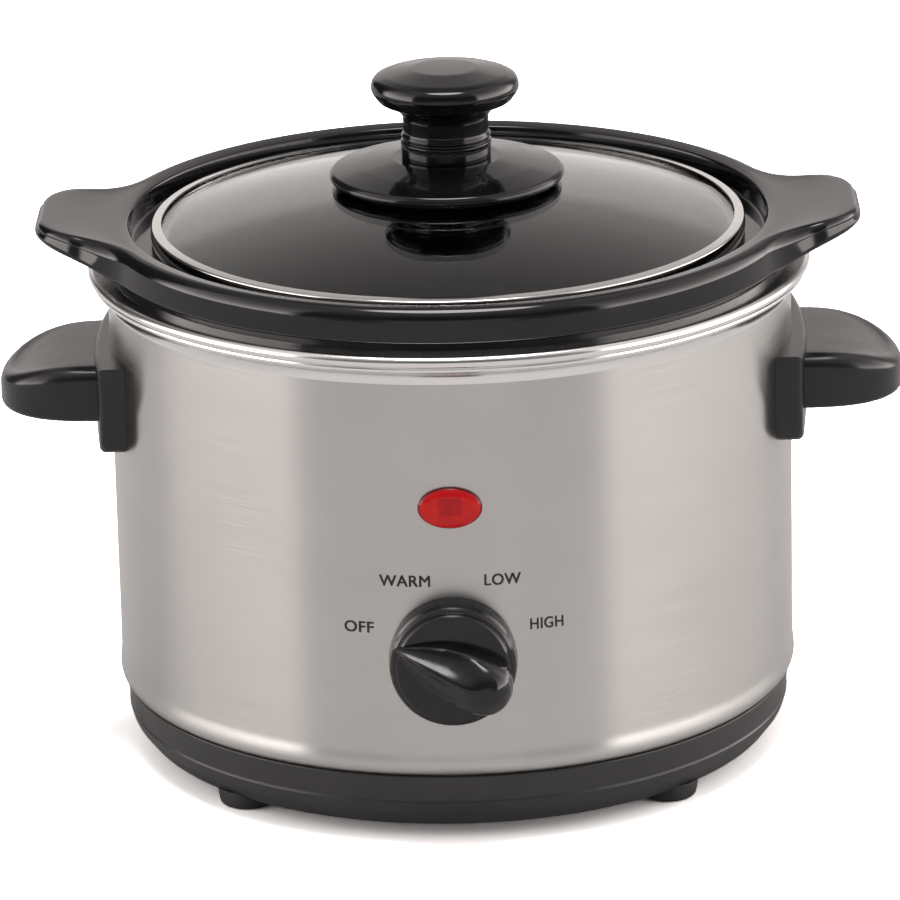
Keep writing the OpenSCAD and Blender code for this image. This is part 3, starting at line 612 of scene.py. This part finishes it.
def curve_at(table, t):
    """Smooth monotone value from a short list of (position, value)."""
    xs, ys = [p[0] for p in table], [p[1] for p in table]
    if t <= xs[0]:
        return ys[0]
    if t >= xs[-1]:
        return ys[-1]
    i = max(k for k in range(len(xs)) if xs[k] <= t)
    i = min(i, len(xs) - 2)
    slopes = [(ys[k + 1] - ys[k]) / (xs[k + 1] - xs[k]) for k in range(len(xs) - 1)]

    def tangent(k):
        if k == 0:
            return slopes[0]
        if k == len(xs) - 1:
            return slopes[-1]
        a, b = slopes[k - 1], slopes[k]
        return 0 if a * b <= 0 else 2 * a * b / (a + b)

    h = xs[i + 1] - xs[i]
    s = (t - xs[i]) / h
    return (ys[i] * (1 + 2 * s) * (1 - s) ** 2 + h * tangent(i) * s * (1 - s) ** 2
            + ys[i + 1] * s * s * (3 - 2 * s) + h * tangent(i + 1) * s * s * (s - 1))


def dial_disc():
    """Round skirt with two small chamfers at its face, hollow behind and bored for the shaft."""
    outline = rounded([(0, DIAL_FACE), (14.75, DIAL_FACE, 0.25), (15.35, DIAL_FACE - 0.65, 0.25),
                       (15.45, DIAL_FACE - 2.0, 0.2), (16.0, DIAL_FACE - 2.05, 0.2),
                       (16.75, DIAL_FACE - 2.85, 0.3), (17.1, DIAL_FACE - 4.4, 0.5), (DIAL_R, DIAL_BACK, 0.4),
                       (DIAL_INNER, DIAL_BACK, 0.4), (DIAL_INNER, DIAL_WEB, 0.4), (5.2, DIAL_WEB, 0.4),
                       (5.2, 100.0), (SHAFT_R, 100.0), (SHAFT_R, SHAFT_TIP), (0, SHAFT_TIP)], 6)
    verts, faces = turned(outline, 160)
    verts = face_forward(verts, DIAL_Z)
    add("dial_disc", verts, faces, "control_knob", MAT["dial"], ("control_knob",), sharp=40)


def dial_grip():
    """Leaf-shaped grip with hollow flanks, full and round at one end and running out to a point."""
    # along the grip: half width, height of the side edge, height of the crest, and how full the section is
    half = [(GRIP_BACK, 0.3), (-16.3, 2.2), (-15.0, 4.6), (-12.5, 6.6), (-8.5, 7.5), (-3, 7.4), (3, 6.5),
            (8, 4.9), (12.5, 2.7), (15.5, 0.9), (GRIP_POINT, 0.12)]
    edge = [(GRIP_BACK, 3.2), (-15.5, 5.0), (-12, 6.0), (-6, 5.8), (0, 5.0), (8, 3.2), (13, 1.6),
            (GRIP_POINT, 0.25)]
    crest = [(GRIP_BACK, 3.6), (-16.0, 6.6), (-14.0, 9.6), (-10.5, 11.3), (-5, 11.2), (1, 9.6), (7, 6.9),
             (12, 4.0), (GRIP_POINT, 0.5)]
    full = [(GRIP_BACK, 1.0), (-9, 1.0), (-2, 0.25), (4, 0.0), (GRIP_POINT, 0.0)]
    steps, across, root = 60, 20, -0.6
    soft, hollow = 0.012, 1.75  # roundness of the crest, and how deeply the flanks are hollowed
    hollow_top = (1 - math.sqrt(soft)) ** hollow
    rows = []
    for k in range(steps + 1):
        u = GRIP_BACK + (GRIP_POINT - GRIP_BACK) * (0.5 - 0.5 * math.cos(math.pi * k / steps))
        hw, e, c, b = (curve_at(table, u) for table in (half, edge, crest, full))
        c = max(c, e + 0.05)
        bevel = min(0.5, e * 0.3, hw * 0.3)
        row = [(u, -hw, root), (u, -hw, e * 0.5), (u, -hw, e - bevel)]
        for i in range(-across, across + 1):
            v = i / across
            t = min(1.0, math.sqrt(v * v + soft) * 0.995)
            bulge = math.sqrt(max(0.0, 1 - v * v))
            g = (1 - b) * (1 - t) ** hollow / hollow_top + b * bulge
            row.append((u, v * (hw - bevel), e + (c - e) * g))
        row += [(u, hw, e - bevel), (u, hw, e * 0.5), (u, hw, root)]
        rows.append(row)
    verts, faces = loft(rows)
    count = len(rows[0])
    faces.append(tuple(range(count)))
    faces.append(tuple(reversed(range(len(verts) - count, len(verts)))))
    c, s = math.cos(math.radians(DIAL_REST)), math.sin(math.radians(DIAL_REST))
    verts = [(u * c - v * s, u * s + v * c, DIAL_FACE + rise) for u, v, rise in verts]
    grip = add("dial_grip", face_forward(verts, DIAL_Z), faces, "control_knob", MAT["dial"], sharp=38)


# ---------------------------------------------------------------- crock
FLANGE_R, FLANGE_TOP, FLANGE_RISE = 96.8, 152.1, 2.0  # the top rises a little on the lugs
LUG_X, LUG_HALF, LUG_CORNER, LUG_FILLET = 114.0, 27.5, 18.0, 28.0
SEAT_Z, BORE_R, FLOOR_Z, CROCK_Z = 145.5, 76.5, 73.3, 67.3


def crock_plan():
    """Outline of the flange with its two lugs, evenly stepped anticlockwise, and its inward normals."""
    # the corner circle stands inside the lug; the fillet circle touches it and the flange
    ex, ey = LUG_X - LUG_CORNER, LUG_HALF - LUG_CORNER
    span, reach = math.hypot(ex, ey), FLANGE_R + LUG_FILLET
    forth = (reach ** 2 - (LUG_CORNER + LUG_FILLET) ** 2 + span ** 2) / (2 * span)
    aside = math.sqrt(reach ** 2 - forth ** 2)
    cx, cy = (forth * ex - aside * ey) / span, (forth * ey + aside * ex) / span
    meet = math.degrees(math.atan2(cy, cx))
    turn = math.degrees(math.atan2(cy - ey, cx - ex))
    quarter = [(LUG_X, 0.0), (LUG_X, ey)]
    quarter += arc(ex, ey, LUG_CORNER, 0, turn, 24)[1:]
    quarter += arc(cx, cy, LUG_FILLET, turn - 180, meet - 180, 24)
    quarter += arc(0, 0, FLANGE_R, meet, 90, 80)[1:]
    half = quarter + [(-x, y) for x, y in reversed(quarter[:-1])]
    pts = np.array(half + [(-x, -y) for x, y in half[1:-1]])
    closed = np.vstack([pts, pts[:1]])
    dist = np.concatenate([[0], np.cumsum(np.linalg.norm(np.diff(closed, axis=0), axis=1))])
    at = np.linspace(0, dist[-1], 721)[:-1]
    out = np.stack([np.interp(at, dist, closed[:, 0]), np.interp(at, dist, closed[:, 1])], axis=1)
    for _ in range(6):  # softens the joins between the arcs
        out = 0.5 * out + 0.25 * (np.roll(out, 1, 0) + np.roll(out, -1, 0))
    along = np.roll(out, -1, 0) - np.roll(out, 1, 0)
    normal = np.stack([-along[:, 1], along[:, 0]], axis=1)
    normal /= np.linalg.norm(normal, axis=1)[:, None]
    return out, normal


def crock():
    """Glazed pot: round inside and below, with a thick flange that runs out into two lugs."""
    plan, inward = crock_plan()
    radius = np.linalg.norm(plan, axis=1)
    # how far out on a lug each point of the outline is, from 0 to 1; the flange thins as it goes out
    out = np.clip((radius - (FLANGE_R + 0.3)) / (111.0 - FLANGE_R), 0, 1)
    out = out * out * (3 - 2 * out)
    top_fillet = 4.3 * (1 - out) + 2.4 * out
    low_fillet = 1.3 * (1 - out) + 2.0 * out
    draft, slope = 0.75, 9.5  # the outer edge leans in by draft mm, at slope degrees

    def ztop(r):
        s = np.clip((r - 93.0) / (113.0 - 93.0), 0, 1)
        return FLANGE_TOP + FLANGE_RISE * s * s * (3 - 2 * s)

    def zlow(r):
        return np.interp(r, [93.4, 96.8, 100, 107, 112, 115], [142.4, 143.0, 144.6, 147.6, 149.5, 149.7])

    def level(xy, z):
        """A ring from points and their heights, or one height."""
        return [(x, y, h) for (x, y), h in zip(xy, np.broadcast_to(z, len(xy)))]

    def circle(r):
        """Points round a circle, at the same angles as the outline's."""
        return np.array([(r * math.cos(a), r * math.sin(a)) for a in bearing])

    def turned_rings(outline):
        return [[(0, 0, z)] if r < 1e-6 else level(circle(r), z) for r, z in outline]

    deep = plan + inward * top_fillet[:, None]
    bearing = np.arctan2(deep[:, 1], deep[:, 0])
    # underside and outside wall, from the middle of the foot outwards, then the flange's underside
    rings = turned_rings(rounded([(0, CROCK_Z), (81.3, CROCK_Z, 12.5), (81.5, 132.0, 4), (82.5, RIM_Z, 0.2),
                                  (93.0, RIM_Z)], 12))
    low_ring, low_circle = plan + inward * low_fillet[:, None], circle(93.4)
    for k in (0.0, 0.2, 0.4, 0.6, 0.8):
        mix = low_circle * (1 - k) + low_ring * k
        rings.append(level(mix, zlow(np.linalg.norm(mix, axis=1))))
    # lower edge, sloping side and upper edge
    for k in range(9):
        a = math.radians(-90 + (90 + slope) * k / 8)
        inset = low_fillet * (1 - math.cos(a))
        rings.append(level(plan + inward * inset[:, None],
                           zlow(np.linalg.norm(low_ring, axis=1)) + low_fillet * (1 + math.sin(a))))
    for k in range(13):
        a = math.radians(slope + (90 - slope) * k / 12)
        inset = draft * (1 - k / 12) + top_fillet * (1 - math.cos(a))
        rings.append(level(plan + inward * inset[:, None],
                           ztop(np.linalg.norm(deep, axis=1)) - top_fillet * (1 - math.sin(a))))
    # top, dished slightly towards the lip, then the inside down to the middle of the floor
    lip = circle(90.9)
    for k in (0.15, 0.3, 0.45, 0.6, 0.75, 0.9, 1.0):
        mix = deep * (1 - k) + lip * k
        rings.append(level(mix, ztop(np.linalg.norm(mix, axis=1)) - 0.25 * k))
    rings += turned_rings(rounded([(90.9, FLANGE_TOP - 0.25), (88.7, FLANGE_TOP - 0.7, 0.9),
                                   (88.3, FLANGE_TOP - 3.4, 0.8), (88.1, SEAT_Z, 0.9), (BORE_R, SEAT_Z, 1.0),
                                   (BORE_R - 0.4, FLOOR_Z, 11.5), (0, FLOOR_Z)], 10)[1:])
    verts, faces = loft(rings)
    add("stoneware_crock", verts, faces, "crock", MAT["glaze"], ("crock",), sharp=60)


# ---------------------------------------------------------------- lid
DOME_R, DOME_Z, GLASS_T, GLASS_R, HOLE_R = 265.0, 162.0, 3.0, 80.4, 3.2
PLATE_SEAT, KNOB_TOP = 167.5, 193.0


def lid_glass():
    """Shallow glass dome with a hole for the knob's screw and a softened rim."""
    middle = DOME_Z - DOME_R

    def shell(r, first, last):
        """Arc of the dome of radius r between two distances from the axis."""
        a, b = (math.degrees(math.acos(x / r)) for x in (first, last))
        return arc(0, middle, r, a, b, 40)

    top = shell(DOME_R, HOLE_R, GLASS_R)
    low = shell(DOME_R - GLASS_T, GLASS_R, HOLE_R)
    x, z = top[-1][0] + 0.9, (top[-1][1] + low[0][1]) / 2
    outline = top + [(x - 0.2, z + 0.7), (x, z), (x - 0.2, z - 0.7)] + low
    verts, faces = turned(outline, 192, closed=True)
    add("glass_dome", verts, faces, "lid", MAT["glass"], ("lid_glass",), sharp=40)


def lid_ring():
    """Thin steel channel folded round the glass's rim."""
    outline = rounded([(79.5, 150.7), (82.2, 150.4, 0.7), (82.5, 147.6, 1.2), (82.1, 145.6, 0.6),
                       (79.7, 145.6, 0.3), (79.7, 146.1), (81.6, 146.1, 0.3), (81.6, 149.7, 0.3),
                       (79.5, 150.2)], 6)
    verts, faces = turned(outline, 256, closed=True)
    add("steel_ring", verts, faces, "lid", MAT["ring"], ("lid_ring",), sharp=60)


def lid_flange():
    """Wide round plate between the glass and the knob."""
    outline = rounded([(HOLE_R, 162.0), (20.0, 161.25, 0.3), (20.6, 161.4, 0.3), (31.2, 161.0, 0.6),
                       (32.85, 162.5, 1.2), (31.6, 164.2, 1.2), (24.0, 165.9, 6), (15.0, PLATE_SEAT, 3),
                       (HOLE_R, PLATE_SEAT)], 8)
    verts, faces = turned(outline, 192, closed=True)
    add("lid_plate", verts, faces, "lid", MAT["gloss"], ("lid_flange",), sharp=60)


def lid_knob():
    """Grooved stem and mushroom cap."""
    outline = rounded([(0, PLATE_SEAT), (12.4, PLATE_SEAT, 0.3), (12.6, 172.2, 0.5), (12.0, 172.75, 0.2),
                       (12.0, 173.2, 0.2), (12.45, 173.75, 0.4), (11.8, 175.0, 1.5), (11.9, 179.6, 3),
                       (13.9, 182.1, 3), (18.4, 183.8, 2.5), (20.75, 187.1, 2.8), (19.9, 190.2, 2.6),
                       (17.0, 191.3, 8), (9.0, 192.7, 14), (0, KNOB_TOP)], 10)
    verts, faces = turned(outline, 192)
    add("knob_cap", verts, faces, "lid", MAT["gloss"], ("lid_knob",), sharp=60)


# ---------------------------------------------------------------- printed words
# each word with its bearing and distance from the knob's centre, and its width
WORDS = (("OFF", 162, 26.7, 8.2), ("WARM", 120, 25.2, 13.8), ("LOW", 58, 25.8, 9.9),
         ("HIGH", 18.4, 26.9, 9.3))
CAP_HEIGHT, THICKEN = 3.2, 0.024


def word(text, angle, distance, width):
    """Flat lettering on the wrap, in a ring about the knob; four shifted copies thicken its strokes."""
    data = bpy.data.curves.new("letters", "FONT")
    data.body, data.size, data.align_x, data.align_y = text, 1.0, "CENTER", "CENTER"
    data.space_character = 1.06
    data.resolution_u = 6
    letters = bpy.data.objects.new("letters", data)
    bpy.context.collection.objects.link(letters)
    flat = bpy.data.meshes.new_from_object(letters.evaluated_get(bpy.context.evaluated_depsgraph_get()))
    bpy.data.objects.remove(letters)
    pts = np.array([v.co[:2] for v in flat.vertices])
    low, high = pts.min(axis=0) - (THICKEN, THICKEN / 2), pts.max(axis=0) + (THICKEN, THICKEN / 2)
    middle = (low + high) / 2
    scale = np.array([width, CAP_HEIGHT]) / (high - low)
    mid_x = distance * math.cos(math.radians(angle))
    mid_z = DIAL_Z + distance * math.sin(math.radians(angle))
    whole = bmesh.new()
    for layer, (dx, dz) in enumerate(((-1, -0.5), (1, -0.5), (-1, 0.5), (1, 0.5))):
        bm = bmesh.new()
        bm.from_mesh(flat)
        bmesh.ops.remove_doubles(bm, verts=bm.verts, dist=1e-5)
        skin = bmesh.ops.extrude_face_region(bm, geom=bm.faces[:])
        raised = {v for v in skin["geom"] if isinstance(v, bmesh.types.BMVert)}
        # the copies stand at slightly different heights, so that their faces don't coincide
        lift = 0.05 + 0.004 * layer
        for v in bm.verts:
            x, z = (np.array(v.co[:2]) + (dx * THICKEN, dz * THICKEN) - middle) * scale + (mid_x, mid_z)
            r, a = WRAP_R + (lift if v in raised else -0.05), x / WRAP_R
            v.co = Vector((r * math.sin(a), -r * math.cos(a), z)) * MM + Vector((0, AX, 0))
        bmesh.ops.recalc_face_normals(bm, faces=bm.faces)
        part = bpy.data.meshes.new("letter_layer")
        bm.to_mesh(part)
        bm.free()
        whole.from_mesh(part)
        bpy.data.meshes.remove(part)
    mesh = bpy.data.meshes.new("word_" + text)
    whole.to_mesh(mesh)
    whole.free()
    obj = bpy.data.objects.new("word_" + text, mesh)
    bpy.context.collection.objects.link(obj)
    mesh.materials.append(MAT["ink"])
    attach(obj, "housing")


base_pan()
wrap()
vessel()
for i, (sx, sy) in enumerate(((1, 1), (1, -1), (-1, 1), (-1, -1))):
    foot(i, sx, sy)
for side, sign in (("left", -1), ("right", 1)):
    ledge(side, sign)
    plate(side, sign)
bushing()
lens()
dial_disc()
dial_grip()
crock()
lid_glass()
lid_ring()
lid_flange()
lid_knob()
for row in WORDS:
    word(*row)


# ---------------------------------------------------------------- stage and light
FLOOR_HALF, FLOOR_GREY, FLOOR_SHOWN = 8.0, (0.50, 0.50, 0.50), (2.6, 2.6, 2.6)


def stage():
    """Pale floor. The camera sees it brighter than it lights the object, as on a retouched white ground."""
    mesh = bpy.data.meshes.new("floor")
    h = FLOOR_HALF
    mesh.from_pydata([(-h, -h, 0), (h, -h, 0), (h, h, 0), (-h, h, 0)], [], [(0, 1, 2, 3)])
    floor = bpy.data.objects.new("floor", mesh)
    bpy.context.collection.objects.link(floor)
    n = Nodes("floor_white")
    tone = n.remap(n.noise(3, 2.0), 0, 1)
    n.link(n.blend(tone, FLOOR_GREY, tuple(c * 1.03 for c in FLOOR_GREY)), n.bsdf.inputs["Base Color"])
    n.bsdf.inputs["Roughness"].default_value = 0.9
    n.bsdf.inputs["Specular IOR Level"].default_value = 0.1
    shown = n.add("ShaderNodeBsdfDiffuse")
    shown.inputs["Color"].default_value = (*FLOOR_SHOWN, 1)
    pick = n.add("ShaderNodeMixShader")
    n.link(n.add("ShaderNodeLightPath").outputs["Is Camera Ray"], pick.inputs[0])
    n.link(n.bsdf.outputs[0], pick.inputs[1])
    n.link(shown.outputs[0], pick.inputs[2])
    n.link(pick.outputs[0], n.out.inputs[0])
    mesh.materials.append(n.mat)


# light levels round the object, by sector from the front to the rear: (degrees above the table, level)
ROOM = {
    "front": ((6, 0.62), (15, 0.06), (35, 0.08), (55, 0.45), (70, 0.6)),
    "shoulder": ((6, 0.25), (15, 0.08), (35, 0.20), (55, 0.45), (70, 0.6)),
    "side": ((6, 4.7), (19, 2.3), (35, 1.25), (55, 0.6), (70, 0.6)),
    "rear_left": ((6, 0.05), (19, 0.05), (35, 0.10), (55, 0.4), (70, 0.6)),
    "rear_right": ((6, 0.30), (19, 0.30), (35, 0.40), (55, 0.8), (70, 0.6)),
    "rear": ((6, 0.82), (20, 0.82), (24, 0.60), (36, 0.42), (55, 0.18), (70, 0.4)),
}
ROOM_PEAK = 5.0
# where one sector gives way to the next, in degrees round from the front
SHOULDER_AT, SIDE_AT, REAR_AT = (16, 26), (48, 55), (146, 162)
LEFT_REAR_AT, RIGHT_REAR_AT = (100, 114), (120, 138)
OVERHEAD, OVERHEAD_FROM, OVERHEAD_TO = 9.0, 74, 78  # a round lamp over the object
NEUTRAL, WARM = (1.0, 0.997, 1.0, 1), (1.045, 0.985, 0.962, 1)


def studio():
    """Soft light from a world whose brightness depends on the bearing and height of each direction."""
    world = bpy.data.worlds.new("studio")
    bpy.context.scene.world = world
    world.use_nodes = True
    tree = world.node_tree
    tree.nodes.clear()
    out = tree.nodes.new("ShaderNodeOutputWorld")
    bg = tree.nodes.new("ShaderNodeBackground")
    tree.links.new(bg.outputs[0], out.inputs[0])
    coord = tree.nodes.new("ShaderNodeTexCoord")
    xyz = tree.nodes.new("ShaderNodeSeparateXYZ")
    tree.links.new(coord.outputs["Generated"], xyz.inputs[0])

    def op(kind, a, b=0.0):
        """A math node; a and b are numbers or outputs of other nodes."""
        node = tree.nodes.new("ShaderNodeMath")
        node.operation = kind
        for i, v in enumerate((a, b)):
            if hasattr(v, "links"):
                tree.links.new(v, node.inputs[i])
            else:
                node.inputs[i].default_value = v
        return node.outputs[0]

    def step(value, a, b):
        """0 below a degrees, 1 above b degrees, smooth between."""
        node = tree.nodes.new("ShaderNodeMapRange")
        node.interpolation_type = "SMOOTHSTEP"
        tree.links.new(value, node.inputs[0])
        for i, v in enumerate((math.radians(a), math.radians(b), 0.0, 1.0)):
            node.inputs[i + 1].default_value = v
        return node.outputs[0]

    def between(start, end):
        return op("MULTIPLY", start, op("SUBTRACT", 1.0, end))

    # how far round from the front, to the right, and how high up a direction points
    turned_by = op("ARCTAN2", xyz.outputs[0], op("MULTIPLY", xyz.outputs[1], -1.0))
    around = op("ABSOLUTE", turned_by)
    on_right = op("GREATER_THAN", turned_by, 0.0)
    height = op("DIVIDE", op("ARCSINE", xyz.outputs[2]), math.pi / 2)

    def levels(name):
        """A sector's brightness by height, as a share of ROOM_PEAK."""
        ramp = tree.nodes.new("ShaderNodeValToRGB")
        tree.links.new(height, ramp.inputs[0])
        stops = ramp.color_ramp.elements
        while len(stops) < len(ROOM[name]):
            stops.new(0.5)
        for stop, (at, level) in zip(stops, ROOM[name]):
            stop.position = at / 90
            stop.color = (level / ROOM_PEAK,) * 3 + (1,)
        return ramp.outputs[0]

    shoulder, side, rear = (step(around, *edges) for edges in (SHOULDER_AT, SIDE_AT, REAR_AT))
    past_left = between(step(around, *LEFT_REAR_AT), on_right)
    past_right = op("MULTIPLY", step(around, *RIGHT_REAR_AT), on_right)
    sectors = (("front", op("SUBTRACT", 1.0, shoulder)), ("shoulder", between(shoulder, side)),
               ("side", op("SUBTRACT", side, op("ADD", past_left, past_right))),
               ("rear_left", between(past_left, rear)), ("rear_right", between(past_right, rear)),
               ("rear", rear))
    total = 0.0
    for name, weight in sectors:
        total = op("ADD", total, op("MULTIPLY", levels(name), weight))
    lamp = op("MULTIPLY", step(op("ARCSINE", xyz.outputs[2]), OVERHEAD_FROM, OVERHEAD_TO), OVERHEAD)
    tree.links.new(op("ADD", op("MULTIPLY", total, ROOM_PEAK), lamp), bg.inputs["Strength"])
    tint = tree.nodes.new("ShaderNodeMix")
    tint.data_type = "RGBA"
    tree.links.new(side, tint.inputs["Factor"])
    plain_in, warm_in = [sock for sock in tint.inputs if sock.type == "RGBA"]
    plain_in.default_value, warm_in.default_value = NEUTRAL, WARM
    tree.links.new([sock for sock in tint.outputs if sock.type == "RGBA"][0], bg.inputs["Color"])
    bpy.context.scene.view_settings.view_transform = "Standard"
    bpy.context.scene.view_settings.look = "None"


stage()
studio()
